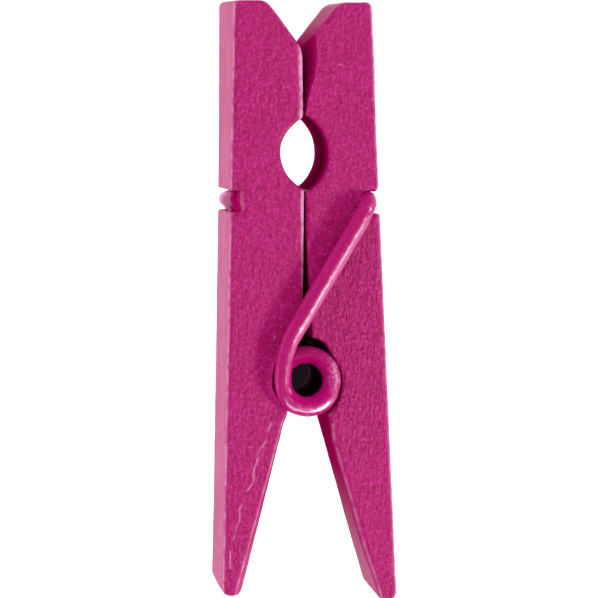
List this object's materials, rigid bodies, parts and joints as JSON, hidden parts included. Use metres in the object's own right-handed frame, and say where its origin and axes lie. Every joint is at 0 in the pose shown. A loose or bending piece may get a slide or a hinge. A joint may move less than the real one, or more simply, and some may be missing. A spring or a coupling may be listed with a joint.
{
  "type": "spring clothespin",
  "caption": "Small painted wooden clothespin: two tapered halves sprung together by a coiled wire, with a V mouth and a round line hole.",
  "frame": {"origin": "middle of the spring's coil, on the axis that the two halves turn about", "axes": "+Z towards the jaws, +Y along the coil from the front face to the back, +X from the left half to the right half"},
  "size_m": [0.0104, 0.0092, 0.035],
  "materials": {
    "painted_wood": "satin magenta paint over birch",
    "painted_wire": "glossy magenta paint over spring steel"
  },
  "bodies": {
    "left_lever": {"left_half": "painted_wood", "spring": "painted_wire"},
    "right_lever": {"right_half": "painted_wood"}
  },
  "joints": [
    {"name": "jaw_opening", "type": "hinge", "parent": "left_lever", "child": "right_lever", "pos_m": [0, 0, 0], "axis": [0, 1, 0], "range_deg": [0, 35.5], "stiffness_Nm_per_rad": 0.14, "springref_deg": -24.64, "deforming": ["spring"]}
  ]
}
